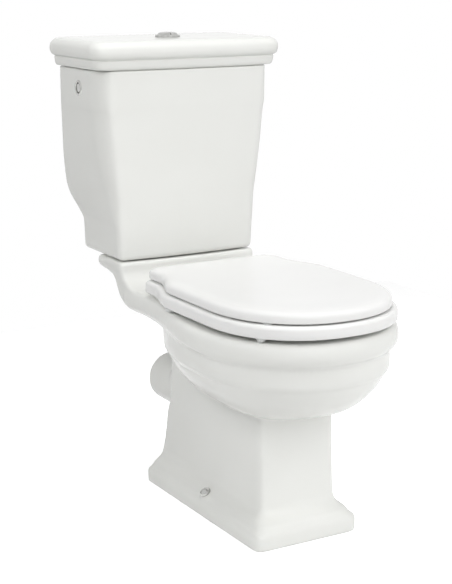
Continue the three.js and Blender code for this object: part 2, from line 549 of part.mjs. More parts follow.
function floatArm() {
  const hub = bar(armPoint(0, 0, -6), armPoint(0, 0, 6), 5.5, 14);
  const nose = bar(point(ARM.pivotX - 1.2, INLET.fromWall, ARM.pivotZ),
    point(ARM.pivotX - 1.2, INLET.fromWall, INLET.z + 1), 2.2, 10);
  const stem = bar(armPoint(2), armPoint(ARM.length - 44), 2.6, 10);
  return cut(join(hub, nose, stem), bar(armPoint(0, 0, -12), armPoint(0, 0, 12), 2.2, 12));
}

function armFloat() {
  const outline = (grow) => [[-40 + grow, -18], [40 - grow, -18], [40 - grow, 18], [-40 + grow, 18]];
  const rings = [[-20, 6], [-15, 0], [15, 0], [20, 6]].map(([across, inset]) =>
    outline(inset).map(([along, aside]) => armPoint(ARM.length - along, across,
      -Math.sign(aside) * (Math.abs(aside) - inset / 2))));
  return cut(skin(rings), bar(armPoint(ARM.length - 60), armPoint(ARM.length - 41), 2.9, 10),
    bar(armPoint(ARM.length - 45), armPoint(ARM.length - 36), 2.9, 10));
}

const sideCap = () => cut(
  join(crossbar(-CISTERN.half - 1, -160, INLET.fromWall, INLET.z, 9, 18),
    crossbar(-CISTERN.half - 2.6, -CISTERN.half - GAP, INLET.fromWall, INLET.z, 15, 24)),
  crossbar(-CISTERN.half - 5, -CISTERN.half - 1.2, INLET.fromWall, INLET.z, 12, 24));
const sideCapNut = () => cut(crossbar(-SIDE_WALL + 3.6, -SIDE_WALL + 10, INLET.fromWall, INLET.z, 15, 6),
  crossbar(-180, -150, INLET.fromWall, INLET.z, 9.3, 18));
const sideCapWasher = () => cut(
  crossbar(-SIDE_WALL + GAP, -SIDE_WALL + 3.2, INLET.fromWall, INLET.z, 16, 20),
  crossbar(-180, -150, INLET.fromWall, INLET.z, 9.4, 18));

// ---- seat ----
const NOTCH = { from: 50, to: 105 };       // where each hinge stands in the ring's back edge

const hingeBore = (side) => crossbar(side * (NOTCH.from - 8), side * (NOTCH.to + 8),
  HINGE.fromWall, HINGE.z, HINGE.pin + 0.4, 14);

function seatRing() {
  const outer = loft([[RING.bottom, ringOutline(4)], [RING.bottom + 3.5, ringOutline(0)],
    [RING.top - 5, ringOutline(0)], [RING.top, ringOutline(6)]]);
  const hole = (z, grow) => [z, egg({ half: 112 + grow, front: 698 + grow, back: 350 - grow,
    middle: 540, power: 2.1 })];
  const inner = loft([hole(RING.bottom - 2, 4), hole(RING.bottom + 1, 2), hole(RING.bottom + 6, 0),
    hole(RING.top - 7, 2), hole(RING.top + 1, 9)]);
  const notches = [-1, 1].map((side) => {
    const [x0, x1] = [NOTCH.from * side, NOTCH.to * side].sort((a, b) => a - b);
    return block(x0, x1, RING.back - 10, HINGE.fromWall + 17, RING.bottom - 5, RING.top + 5);
  });
  return cut(outer, inner, ...notches, hingeBore(-1), hingeBore(1));
}

function lidLug(x0, x1) {
  const { fromWall: w, z } = HINGE;
  const foot = arc(6, (a) => [w - 7 * Math.cos(2 * a), z - 7 * Math.sin(2 * a)]);
  return slab([...foot, [w + 7, SEAT_LID.bottom + 2], [w - 7, SEAT_LID.bottom + 2]].reverse(), x0, x1);
}

function seatLid() {
  const { bottom, top } = SEAT_LID;
  const shell = loft([[bottom, lidOutline(3)], [bottom + 2.5, lidOutline(0)],
    [top - 8, lidOutline(0)], [top - 3.5, lidOutline(3)], [top - 1, lidOutline(8)],
    [top, lidOutline(15)], [top + 1, lidOutline(30)]]);
  const lugs = [-101, -65, 55, 91].map((x) => lidLug(x, x + 10));
  return cut(join(shell, ...lugs), hingeBore(-1), hingeBore(1));
}

function hingePost(side) {
  const { fromWall: w, z } = HINGE;
  const x = side * HINGE.x;
  const flange = turned(x, w, [[0, RIM_Z + GAP], [15, RIM_Z + GAP], [15, 402.5], [12, 405], [0, 405]], 24);
  return cut(join(flange, post(x, w, 404, z, 7, 18), crossbar(x - 10, x + 10, w, z, 7, 18),
    post(x, w, 352, RIM_Z + 2, 4, 12)), crossbar(x - 20, x + 20, w, z, HINGE.pin + GAP, 14));
}

const hingePin = (side) => crossbar(side * (NOTCH.from - 6), side * (NOTCH.to + 6),
  HINGE.fromWall, HINGE.z, HINGE.pin, 12);
const hingeWasher = (side) => turned(side * HINGE.x, HINGE.fromWall,
  [[4.5, 381.7], [12, 381.7], [12, 383.7], [4.5, 383.7]], 18);
const hingeNut = (side) => cut(post(side * HINGE.x, HINGE.fromWall, 372, 381.4, 9, 6),
  post(side * HINGE.x, HINGE.fromWall, 365, 385, 4.3, 12));

const ringBuffer = (x, fromWall) => turned(x, fromWall, [[0, RIM_Z + GAP], [6, RIM_Z + GAP],
  [8.2, RIM_Z + 3], [9, RING.bottom - GAP], [0, RING.bottom - GAP]], 16);
const lidBuffer = (x, fromWall) => turned(x, fromWall, [[0, RING.top + GAP], [5.5, RING.top + GAP],
  [7, SEAT_LID.bottom - GAP], [0, SEAT_LID.bottom - GAP]], 16);

// ---- assembly ----
const toilet = new THREE.Group();

function piece(name, solid, material) {
  const mesh = new THREE.Mesh(geometryOf(solid), finish(material));
  mesh.name = name;
  toilet.add(mesh);
}

piece('pan', pan(), 'ceramic');
piece('cistern_body', cisternBody(), 'ceramic');
piece('cistern_lid', cisternLid(), 'ceramic');
piece('doughnut_seal', doughnutSeal(), 'rubber');
piece('flush_valve_body', flushValveBody(), 'plastic');
piece('flush_valve_washer', valveWasher(), 'rubber');
piece('flush_valve_backnut', valveBacknut(), 'grey');
piece('overflow_tube', overflowTube(), 'blue');
piece('flush_valve_seal', valveSeal(), 'rubber');
piece('full_flush_lever', liftLever(), 'grey');
piece('half_flush_trip', halfFlushTrip(), 'grey');
piece('button_bezel', buttonBezel(), 'chrome');
piece('button_bezel_nut', bezelNut(), 'plastic');
piece('fill_valve_body', fillValveBody(), 'plastic');
piece('fill_valve_washer', inletWasher(), 'rubber');
piece('fill_valve_nut', inletNut(), 'brass');
piece('fill_valve_piston', valvePiston(), 'grey');
piece('filler_tube', fillerTube(), 'grey');
piece('float_arm', floatArm(), 'brass');
piece('float', armFloat(), 'blue');
piece('side_cap', sideCap(), 'chrome');
piece('side_cap_nut', sideCapNut(), 'plastic');
piece('side_cap_washer', sideCapWasher(), 'rubber');
piece('seat_ring', seatRing(), 'seat');
piece('seat_lid', seatLid(), 'seat');

for (const [which, side] of [['half', -1], ['full', 1]]) {
  piece(`${which}_flush_button`, pushButton(side), 'chrome');
  piece(`${which}_flush_rod`, buttonRod(side), 'plastic');
  piece(`${which}_flush_spring`, buttonSpring(side), 'steel');
}

for (const [which, side] of [['left', -1], ['right', 1]]) {
  piece(`coupling_bolt_${which}`, couplingBolt(side), 'brass');
  piece(`coupling_bolt_seal_${which}`, boltSeal(side), 'rubber');
  piece(`deck_washer_${which}`, deckWasher(side), 'rubber');
  piece(`wing_nut_${which}`, wingNut(side), 'brass');
  piece(`hinge_post_${which}`, hingePost(side), 'chrome');
  piece(`hinge_pin_${which}`, hingePin(side), 'steel');
  piece(`hinge_washer_${which}`, hingeWasher(side), 'rubber');
  piece(`hinge_nut_${which}`, hingeNut(side), 'plastic');
  piece(`floor_bracket_${which}`, floorBracket(side), 'plastic');
  piece(`fixing_screw_${which}`, fixingScrew(side), 'steel');
  piece(`fixing_screw_cap_${which}`, fixingCap(side), 'chrome');
  piece(`ring_buffer_front_${which}`, ringBuffer(side * 125, 678), 'buffer');
  piece(`ring_buffer_back_${which}`, ringBuffer(side * 156, 430), 'buffer');
  piece(`lid_buffer_${which}`, lidBuffer(side * 120, 691), 'buffer');
}

export default toilet;
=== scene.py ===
"""A white close coupled toilet: glazed pan and cistern, plastic seat, chrome push buttons and caps."""
import json
import math

import bmesh
import bpy
from mathutils import Matrix, Vector

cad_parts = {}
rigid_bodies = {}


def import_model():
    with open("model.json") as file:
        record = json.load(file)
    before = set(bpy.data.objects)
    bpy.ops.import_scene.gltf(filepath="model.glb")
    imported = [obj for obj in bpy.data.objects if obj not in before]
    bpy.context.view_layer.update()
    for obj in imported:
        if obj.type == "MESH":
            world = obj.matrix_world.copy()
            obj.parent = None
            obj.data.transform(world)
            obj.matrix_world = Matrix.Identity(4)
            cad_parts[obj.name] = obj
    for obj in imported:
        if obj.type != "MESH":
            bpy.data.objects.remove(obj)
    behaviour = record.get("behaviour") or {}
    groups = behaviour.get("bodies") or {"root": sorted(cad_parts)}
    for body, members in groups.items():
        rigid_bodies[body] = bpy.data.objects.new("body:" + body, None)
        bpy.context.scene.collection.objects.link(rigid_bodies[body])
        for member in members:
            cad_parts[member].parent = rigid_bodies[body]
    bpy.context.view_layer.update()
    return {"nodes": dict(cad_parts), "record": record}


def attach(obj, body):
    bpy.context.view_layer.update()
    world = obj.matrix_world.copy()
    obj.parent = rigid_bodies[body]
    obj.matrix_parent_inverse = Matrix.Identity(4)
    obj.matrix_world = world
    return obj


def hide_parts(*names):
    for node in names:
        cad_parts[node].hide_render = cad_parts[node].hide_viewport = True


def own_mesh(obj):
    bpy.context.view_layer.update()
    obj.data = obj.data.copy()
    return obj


# ---- places and sizes in mm, shared by several pieces ----
MM = 0.001
DEPTH = 764                              # from the wall to the front of the rim
HINGE_X, HINGE_FROM_WALL, HINGE_Z = 77.5, 298, 422.5
CAP_FROM_WALL, CAP_Z = 103, 777.5        # the blanked hole, on the left
INLET_FROM_WALL, INLET_Z = 91, 776       # the water inlet, on the right
SIDE_HOLE = 11.5                         # radius of both
VALVE_FROM_WALL = 140                    # the flush valve, in the middle
BOLT_X, BOLT_FROM_WALL = 85, 128         # the bolts that hold the cistern on the pan
BUTTON_FROM_WALL, BUTTON_SPLIT, SPLIT_GAP = 120, -3, 0.8
ROD_X = 12                               # the rod and coil under each button
SPRING_LOW, SPRING_HIGH, SPRING_RADIUS, SPRING_WIRE, SPRING_TURNS = 850, 867, 5, 0.6, 4
LUGS = (-101, -65, 55, 91)               # left edges of the ears under the seat lid
LIGHT_AIM = (0, 0, 0.4)                  # in metres

for leftover in list(bpy.data.objects):
    bpy.data.objects.remove(leftover)

# ---- the view ----
camera_data = bpy.data.cameras.new("camera")
camera_data.lens = 88.28
camera_data.sensor_width = 36
camera_data.clip_end = 50
camera = bpy.data.objects.new("camera", camera_data)
camera.location = (-1.3370, -2.2586, 1.0209)
camera.rotation_euler = (math.radians(90 - 13.13), 0, math.radians(-30.243))
bpy.context.scene.collection.objects.link(camera)
bpy.context.scene.camera = camera
bpy.context.scene.view_settings.view_transform = "Standard"

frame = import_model()


# ---- outlines seen from above, in mm: half outlines from the front middle to the back middle ----
def arc(steps):
    return [i / steps * math.pi / 2 for i in range(steps + 1)]


def egg(half, front, back, middle, power=2.0, back_power=None):
    """The front and back halves meet at the widest place, the middle."""
    back_power = back_power or power
    fore = [(half * math.sin(a) ** (2 / power),
             middle + (front - middle) * max(math.cos(a), 0) ** (2 / power)) for a in arc(48)]
    aft = [(half * max(math.cos(a), 0) ** (2 / back_power),
            middle - (middle - back) * math.sin(a) ** (2 / back_power)) for a in arc(48)]
    return fore + aft[1:]


def rounded_box(half, front, back, fore=12, aft=12, bow=0, back_half=None, deep=None):
    """A box with rounded corners that may bow out in front and differ in width at the back.
    The front corners run back by deep along the sides."""
    back_half = back_half or half
    deep = deep or fore
    across = [(i / 24 * (half - fore), front + bow * (1 - (i / 24) ** 2)) for i in range(24)]
    first = [(half - fore + fore * math.sin(a), front - deep + deep * math.cos(a)) for a in arc(12)]
    second = [(back_half - aft + aft * math.cos(a), back + aft - aft * math.sin(a)) for a in arc(12)]
    return across + first + second + [(0, back)]


def tailed(shape, inset=0):
    """Round in front, then drawn in with an S curve to a narrower straight tail."""
    half, front, middle, tail, side_end, tail_from, back, power, corner = shape
    fore = [((half - inset) * math.sin(a) ** (2 / power),
             middle + (front - inset - middle) * max(math.cos(a), 0) ** (2 / power)) for a in arc(60)]
    sway = [(tail - inset + (half - tail) * (1 + math.cos(math.pi * i / 30)) / 2,
             side_end - (side_end - tail_from) * i / 30) for i in range(31)]
    edge = tail - inset
    end = [(edge - corner + corner * math.cos(a), back + inset + corner - corner * math.sin(a))
           for a in arc(10)]
    start = 0 if side_end < middle else 1
    return fore + sway[start:] + end + [(0, back + inset)]


def even(half_outline, count):
    """A whole outline of count evenly spaced points, from its half, starting in front."""
    whole = half_outline + [(-x, w) for x, w in reversed(half_outline[1:-1])] + [half_outline[0]]
    lengths = [0.0]
    for (xa, wa), (xb, wb) in zip(whole, whole[1:]):
        lengths.append(lengths[-1] + math.hypot(xb - xa, wb - wa))
    points = []
    k = 0
    for i in range(count):
        goal = lengths[-1] * i / count
        while lengths[k + 1] < goal:
            k += 1
        share = (goal - lengths[k]) / max(lengths[k + 1] - lengths[k], 1e-9)
        (xa, wa), (xb, wb) = whole[k], whole[k + 1]
        points.append((xa + share * (xb - xa), wa + share * (wb - wa)))
    return points


def eased(rows, steps=5):
    """The same rows with smooth steps between them: a curve through every row."""
    rows = [tuple(float(v) for v in row) for row in rows]
    rows = [rows[0]] + rows + [rows[-1]]
    made = []
    for before, a, b, after in zip(rows, rows[1:], rows[2:], rows[3:]):
        for i in range(steps):
            t = i / steps
            made.append(tuple(bent(p, q, r, s, t) for p, q, r, s in zip(before, a, b, after)))
    return made + [rows[-1]]


def bent(before, a, b, after, t):
    """Between a and b without overshooting either of them."""
    def slope(left, here, right):
        rise, run = here - left, right - here
        return 0 if rise * run <= 0 else 2 * rise * run / (rise + run)
    leave, arrive = slope(before, a, b), slope(a, b, after)
    return ((2 * t ** 3 - 3 * t ** 2 + 1) * a + (t ** 3 - 2 * t ** 2 + t) * leave
            + (3 * t ** 2 - 2 * t ** 3) * b + (t ** 3 - t ** 2) * arrive)


# ---- mesh making ----
def at(x, from_wall, z):
    return Vector((x * MM, (DEPTH / 2 - from_wall) * MM, z * MM))


def tower(sections, count=160, closed=False):
    """Stacks outlines [(z, half outline), ...] into a skin, closed on itself or filled at both ends."""
    bm = bmesh.new()
    start = bmesh.ops.create_circle(bm, segments=count, radius=1)["verts"]
    start.sort(key=lambda v: math.atan2(v.co.y, v.co.x))
    ring = start
    for number, (z, half_outline) in enumerate(sections):
        if number:
            ring = extruded(bm, ring)
        for v, (x, w) in zip(ring, even(half_outline, count)):
            v.co = at(x, w, z)
    if closed:
        bmesh.ops.bridge_loops(bm, edges=ring_edges(start) + ring_edges(ring))
    else:
        for end in (start, ring):
            fill_end(bm, end)
    bmesh.ops.remove_doubles(bm, verts=bm.verts, dist=1e-7)
    bmesh.ops.recalc_face_normals(bm, faces=bm.faces)
    return bm


def ring_edges(ring):
    members = set(ring)
    found = []
    for a, b in zip(ring, ring[1:] + ring[:1]):
        found.append(next(e for e in a.link_edges if e.other_vert(a) is b and a in members))
    return found


def extruded(bm, ring):
    """Draws a new ring out of a ring of vertices, in the same order."""
    made = bmesh.ops.extrude_edge_only(bm, edges=ring_edges(ring))["geom"]
    new = {g for g in made if isinstance(g, bmesh.types.BMVert)}
    return [next(e.other_vert(v) for e in v.link_edges if e.other_vert(v) in new) for v in ring]


def fill_end(bm, ring):
    """Closes an end with rings drawn in towards its middle, so that it shades evenly."""
    middle = sum((v.co for v in ring), Vector()) / len(ring)
    start = [v.co.copy() for v in ring]
    for share in (0.9, 0.6, 0.2):
        ring = extruded(bm, ring)
        for v, co in zip(ring, start):
            v.co = middle + (co - middle) * share
    bmesh.ops.contextual_create(bm, geom=ring_edges(ring))


def rod(points, radius, sides=24):
    """A round bar along points."""
    bm = bmesh.new()
    start = bmesh.ops.create_circle(bm, segments=sides, radius=radius * MM)["verts"]
    start.sort(key=lambda v: math.atan2(v.co.y, v.co.x))
    flat = [v.co.copy() for v in start]
    ring = start
    for number, here in enumerate(points):
        before, after = points[max(number - 1, 0)], points[min(number + 1, len(points) - 1)]
        turn = (after - before).to_track_quat("Z", "Y").to_matrix().to_4x4()
        if number:
            ring = extruded(bm, ring)
        for v, co in zip(ring, flat):
            v.co = Matrix.Translation(here) @ turn @ co
    for end in (start, ring):
        bmesh.ops.contextual_create(bm, geom=ring_edges(end))
    bmesh.ops.recalc_face_normals(bm, faces=bm.faces)
    return bm


def spun(profile, steps=72):
    """A round solid from a profile [(radius, height), ...] that starts and ends on its axis or closes."""
    bm = bmesh.new()
    verts = [bm.verts.new((r * MM, 0, h * MM)) for r, h in profile]
    edges = [bm.edges.new(pair) for pair in zip(verts, verts[1:])]
    if profile[0][0] > 0:
        edges.append(bm.edges.new((verts[-1], verts[0])))
    bmesh.ops.spin(bm, geom=verts + edges, axis=(0, 0, 1), cent=(0, 0, 0), angle=2 * math.pi,
                   steps=steps, use_merge=True)
    bmesh.ops.remove_doubles(bm, verts=bm.verts, dist=1e-6)
    bmesh.ops.recalc_face_normals(bm, faces=bm.faces)
    return bm


def moved(bm, matrix):
    bmesh.ops.transform(bm, matrix=matrix, verts=bm.verts)
    return bm


def block(x0, x1, w0, w1, z0, z1):
    """A square cutter."""
    bm = bmesh.new()
    bmesh.ops.create_cube(bm, size=1)
    low, high = at(x0, w1, z0), at(x1, w0, z1)
    size = high - low
    bmesh.ops.scale(bm, vec=size, verts=bm.verts)
    bmesh.ops.translate(bm, vec=(low + high) / 2, verts=bm.verts)
    return bm


def post(x, from_wall, low, high, radius, sides=48):
    return rod([at(x, from_wall, low), at(x, from_wall, high)], radius, sides)


def crossbar(x0, x1, from_wall, z, radius, sides=48):
    return rod([at(x0, from_wall, z), at(x1, from_wall, z)], radius, sides)


def thing(name, bm):
    mesh = bpy.data.meshes.new(name)
    bm.to_mesh(mesh)
    bm.free()
    made = bpy.data.objects.new(name, mesh)
    bpy.context.scene.collection.objects.link(made)
    return made


def apply_modifiers(piece):
    """Bakes the piece's modifiers into its mesh."""
    evaluated = piece.evaluated_get(bpy.context.evaluated_depsgraph_get())
    mesh = bpy.data.meshes.new_from_object(evaluated)
    piece.modifiers.clear()
    piece.data = mesh
    return piece


def combine(piece, others, how="DIFFERENCE"):
    """Joins the other shapes to the piece, cuts them out of it, or keeps only what they share."""
    for number, bm in enumerate(others):
        tool = thing(f"{piece.name}.tool{number}", bm)
        change = piece.modifiers.new("change", "BOOLEAN")
        change.operation = how
        change.solver = "MANIFOLD"
        change.object = tool
        apply_modifiers(piece)
        bpy.data.objects.remove(tool)
    return piece


def shade(piece, angle=32):
    """Smooth shading, broken where the surface turns sharply."""
    bm = bmesh.new()
    bm.from_mesh(piece.data)
    bmesh.ops.remove_doubles(bm, verts=bm.verts, dist=2e-6)
    bmesh.ops.dissolve_degenerate(bm, edges=bm.edges, dist=1e-6)
    bmesh.ops.recalc_face_normals(bm, faces=bm.faces)
    for face in bm.faces:
        face.smooth = True
    for edge in bm.edges:
        edge.smooth = len(edge.link_faces) == 2 and edge.calc_face_angle(0) < math.radians(angle)
    bm.to_mesh(piece.data)
    bm.free()
    return piece


def cast(piece, grain):
    """Melts the joints of a piece together, as clay and glaze do."""
    before = piece.copy()
    before.data = piece.data.copy()
    bpy.context.scene.collection.objects.link(before)
    melt = piece.modifiers.new("melt", "REMESH")
    melt.mode = "VOXEL"
    melt.voxel_size = grain * MM
    snap = piece.modifiers.new("snap", "SHRINKWRAP")
    snap.wrap_method = "NEAREST_SURFACEPOINT"
    snap.target = before
    soften = piece.modifiers.new("soften", "SMOOTH")
    soften.factor = 0.5
    soften.iterations = 6
    apply_modifiers(piece)
    bpy.data.objects.remove(before)
    for face in piece.data.polygons:
        face.use_smooth = True
    return piece


# ---- pan ----
RIM = (190.5, 764, 560, 150, 560, 268, 205, 2.12, 4)
RIM_ROWS = [  # height, inset
    (357, 12), (363, 5), (370, 1.2), (378, 0), (386, 0.8), (393, 2.4), (397.5, 5.6), (400, 10)]
BOWL_ROWS = [  # height, half width, front, back, squareness, widest place
    (228, 79, 604, 302, 4, 490), (233, 86, 628, 298, 3.2, 510), (238, 96, 652, 294, 2.6, 530),
    (245, 109, 675, 291, 2.3, 545), (253, 121, 692, 288, 2.25, 550), (262, 131, 704, 284, 2.3, 545),
    (273, 142, 716, 279, 2.3, 545), (287, 153, 728, 273, 2.3, 545), (302, 161.5, 737, 267, 2.3, 545),
    (312, 166, 741.5, 265, 2.3, 545), (318, 172.5, 746, 262, 2.3, 545),
    (326, 174.5, 747.5, 260, 2.2, 560), (340, 176, 749, 259, 2.15, 560),
    (356, 176, 749.5, 258, 2.15, 560), (372, 174.5, 747.5, 262, 2.15, 560)]
NECK_ROWS = [  # height, half width, front, back, bow
    (359, 141, 250, 212, 0), (366, 146, 250, 198, 0), (372, 147, 250, 186, 0), (381, 147, 250, 175, 0),
    (395, 147, 250, 166, 0), (400, 147, 242, 164, 0), (405, 147.5, 226, 162, 1), (412, 148, 214, 158, 3),
    (418, 148.5, 208, 147, 4), (423, 149, 205, 117, 5), (427, 150, 203, 94, 6), (431, 151, 202, 91, 6),
    (440, 151, 202, 91, 6), (444, 150, 201, 92, 6), (446, 148, 199, 94, 6)]
FOOT_ROWS = [  # height, half width, front, back, front corner, back corner
    (0, 107.5, 641.5, 218.5, 18, 8), (2, 109, 643, 217, 19, 8), (14, 109, 643, 217, 19, 8),
    (25.6, 109, 643, 217, 19, 8), (28.2, 108.6, 642.6, 217.4, 19, 8), (30.2, 107.4, 641.4, 218.4, 19, 8),
    (31.6, 105, 639.4, 219.4, 19, 8), (36, 99.5, 637.8, 221, 23, 8), (42, 97, 634, 222, 22, 8),
    (48, 90, 623.5, 223, 18.5, 8), (56, 83, 613, 226, 15, 8), (64, 80.4, 609, 228, 13.5, 8),
    (76, 79.6, 608, 231, 13, 8), (92, 79, 607, 235, 13, 9), (120, 78.2, 606, 239, 12.5, 11),
    (150, 77.6, 605, 242, 12, 14), (190, 77, 604, 248, 12, 24), (262, 77, 604, 250, 12, 26)]
INSIDE_ROWS = [  # height, half width, front, back, widest place
    (98, 22, 478, 440, 459), (112, 35, 492, 428, 462), (135, 43, 506, 422, 468),
    (162, 49, 524, 415, 478), (190, 54, 550, 404, 488), (215, 59, 580, 392, 500),
    (240, 68, 616, 375, 515), (256, 84, 645, 362, 530), (270, 103, 671, 352, 530),
    (285, 121, 690, 345, 530), (300, 134, 704, 338, 530), (320, 147, 718, 330, 530),
    (350, 155, 727, 324, 530), (362, 149, 722, 327, 530), (367, 133, 707, 337, 530),
    (402, 133, 707, 337, 530)]
WALL_ROWS = [  # the bowl's own wall inside the pedestal: height, half width, front, back, widest place
    (86, 30, 486, 432, 459), (101, 46, 503, 417, 462), (135, 56, 517, 411, 468),
    (162, 63, 536, 403, 478), (190, 67, 562, 392, 488), (215, 72, 592, 380, 500),
    (240, 82, 628, 363, 515), (256, 98, 657, 350, 530), (270, 117, 683, 340, 530),
    (285, 135, 702, 333, 530), (298, 146, 714, 327, 530)]
WATER_WAY = [  # out of the sump, up over the weir and down to the outlet: from the wall, height
    (462, 142), (430, 135), (395, 145), (362, 175), (335, 215), (312, 250), (288, 268), (262, 262),
    (243, 238), (228, 205), (205, 184), (172, 180), (100, 180)]
FIXING = (96, 437, 44.5, math.radians(58))     # x, from wall, height, tilt


def fixing_point(side, depth):
    x, from_wall, z, tilt = FIXING
    return at(side * (x - depth * math.cos(tilt)), from_wall, z - depth * math.sin(tilt))


def make_pan():
    rim = tower([(z, tailed(RIM, inset)) for z, inset in eased(RIM_ROWS, 3)], 240)
    bowl = tower([(z, egg(half, front, back, middle, power, max(power, 2.3)))
                  for z, half, front, back, power, middle in eased(BOWL_ROWS, 4)], 200)
    neck = tower([(z, rounded_box(half, front, back, fore=6, aft=14, bow=bow))
                  for z, half, front, back, bow in eased(NECK_ROWS, 3)], 160)
    foot = tower([(z, rounded_box(half, front, back, fore, aft))
                  for z, half, front, back, fore, aft in eased(FOOT_ROWS, 3)], 200)
    boss = post(0, VALVE_FROM_WALL, 392, 436, 53)
    pan = thing("pan_casting", rim)
    combine(pan, [bowl, neck, foot, boss], "UNION")
    combine(pan, hollows())
    way = [at(0, w, z) for w, z in WATER_WAY]
    wall = tower([(z, egg(half, front, back, middle))
                  for z, half, front, back, middle in eased(WALL_ROWS, 3)], 96)
    pads = [rod([fixing_point(side, 20), fixing_point(side, 0)], 14, 32) for side in (-1, 1)]
    combine(pan, [wall, rod(way[3:-1], 49, 40), rod([at(0, 117, 180), at(0, 250, 180)], 50, 64)]
            + pads, "UNION")
    inside = tower([(z, egg(half, front, back, middle))
                    for z, half, front, back, middle in eased(INSIDE_ROWS, 4)], 200)
    cuts = [inside, rod(way, 38, 40), post(0, VALVE_FROM_WALL, 424, 448, 42),
            post(0, VALVE_FROM_WALL, 378, 426, 29)]
    for side in (-1, 1):
        x0, x1 = sorted((44 * side, 132 * side))
        cuts.append(block(x0, x1, 216, 312, 339, 384))
        cuts.append(post(side * HINGE_X, HINGE_FROM_WALL, 380, 402, 6.5, 24))
        cuts.append(post(side * BOLT_X, BOLT_FROM_WALL, 410, 448, 6, 24))
        cuts.append(rod([fixing_point(side, -6), fixing_point(side, 30)], 3.6, 20))
        cuts.append(rod([fixing_point(side, -12), fixing_point(side, 0)], 11.2, 32))
    combine(pan, cuts)
    return cast(pan, 4.2)


def hollows():
    """The pedestal is an open shell from the floor up to the underside of the bowl's slope."""
    def level(z, half, front, back, fore=8):
        return z, rounded_box(half, front, back, fore, aft=4)
    column = tower([level(-2, 97, 631, 228, 14), level(20, 97, 631, 228, 14), level(25, 83, 610, 233),
                    level(60, 72, 599, 238), level(86, 68.5, 595.5, 247), level(135, 67, 594, 257),
                    level(190, 66, 593, 261), level(246, 66, 593, 261)], 120)
    under = tower([(z, egg(half, front, back, middle, 2.1, 2.3)) for z, half, front, back, middle in
                   [(241, 96, 664, 304, 530), (250, 108, 680, 301, 545), (262, 121, 695, 297, 555),
                    (278, 134, 708, 292, 560), (292, 144, 717, 286, 560)]], 96)
    return [column, under]


# ---- cistern ----
CISTERN_ROWS = [  # height, half width in front, front, back, front corner and its depth, back half
    (458, 149.3, 199, 27, 12, 12, 148), (508, 152, 200.5, 27, 12, 14, 150),
    (528, 154.5, 201, 21, 14, 19, 156), (548, 157.5, 202, 13, 17, 27, 165),
    (566, 160.5, 202.5, 9, 19, 35, 172), (590, 165.5, 203.7, 7, 21, 44, 177.5),
    (640, 174, 205, 7, 24, 52, 182), (685, 179.5, 206, 8, 25, 56, 183.5),
    (730, 183.5, 207, 9, 25, 58, 185), (750, 186.3, 208, 9, 25, 58, 185.5),
    (812.4, 186.3, 209, 9, 25, 58, 185.5)]
MOUTH = CISTERN_ROWS[-1]


def cistern_outline(z, row, inset=0):
    _, half, front, back, fore, deep, back_half = row
    return z, rounded_box(half - inset, front - inset, back + inset, max(fore - inset, 3),
                          max(10 - inset, 4), 6, back_half - inset, max(deep - inset, 3))


def make_cistern():
    rows = eased(CISTERN_ROWS, 5)
    lowest = CISTERN_ROWS[0]
    outer = ([cistern_outline(449, lowest, 7), cistern_outline(450, lowest, 4.4),
              cistern_outline(452, lowest, 2.5), cistern_outline(454.5, lowest, 0.8)]
             + [cistern_outline(row[0], row) for row in rows]
             + [cistern_outline(813.6, MOUTH, 0.4), cistern_outline(814.4, MOUTH, 1.5)])
    inner = ([cistern_outline(814.4, MOUTH, 8), cistern_outline(813, MOUTH, 9)]
             + [cistern_outline(row[0], row, 9) for row in reversed(rows) if row[0] > 468]
             + [cistern_outline(467, lowest, 9), cistern_outline(463, lowest, 10.2),
                cistern_outline(461, lowest, 13)])
    cistern = thing("cistern_casting", tower(outer + inner, 200))
    cuts = [post(0, VALVE_FROM_WALL, 440, 470, 27),
            crossbar(-195, -150, CAP_FROM_WALL, CAP_Z, SIDE_HOLE),
            crossbar(150, 195, INLET_FROM_WALL, INLET_Z, SIDE_HOLE)]
    cuts += [post(side * BOLT_X, BOLT_FROM_WALL, 440, 470, 5.5, 32) for side in (-1, 1)]
    return shade(combine(cistern, cuts))


def lid_outline(z, inset):
    return z, rounded_box(205 - inset, 223 - inset, min(inset, 4) + max(inset - 12, 0),
                          30 - min(inset, 12) / 2, 16, 6)


def make_cistern_lid():
    inside = ([lid_outline(857, 60), lid_outline(857, 20), lid_outline(856.5, 14.5),
               lid_outline(855, 13), lid_outline(847, 13), lid_outline(838, 19), lid_outline(830.6, 22)]
              + [cistern_outline(830, MOUTH, 17), cistern_outline(808, MOUTH, 17),
                 cistern_outline(806, MOUTH, 15.5), cistern_outline(806, MOUTH, 12.5),
                 cistern_outline(808, MOUTH, 11), cistern_outline(814.7, MOUTH, 11),
                 cistern_outline(814.7, MOUTH, 4), cistern_outline(816.5, MOUTH, 4)])
    sides = eased([(816.5, 13), (817.4, 11.9), (818.6, 10.9), (822, 9.4), (827, 8.5), (832, 7.8),
                   (833.2, 8.1), (833.9, 9)], 2)
    moulding = eased([(834.5, 8.9), (835.5, 8), (838, 3.8), (842, 1.4), (849, 0), (856, 0.4), (863, 3.6),
                      (868, 10), (869.6, 15), (870.3, 20), (870.5, 27), (870.5, 40)], 3)
    outside = [lid_outline(z, inset) for z, inset in sides + moulding]
    lid = thing("cistern_cover", tower(inside + outside, 240))
    return shade(combine(lid, [post(0, BUTTON_FROM_WALL, 800, 880, 22.9, 64)]))


# ---- seat ----
RING = (175.5, 764, 575, 150, 440, 325, 288.5, 2.25, 22)
LID = (168.5, 757, 575, 141, 440, 340, 283, 2.15, 26)


def hinge_notches():
    made = []
    for side in (-1, 1):
        x0, x1 = sorted((50 * side, 105 * side))
        made.append(block(x0, x1, 278, HINGE_FROM_WALL + 17, 403, 437))
    return made


def hinge_bores():
    return [crossbar(side * 42, side * 113, HINGE_FROM_WALL, HINGE_Z, 3.4, 24) for side in (-1, 1)]


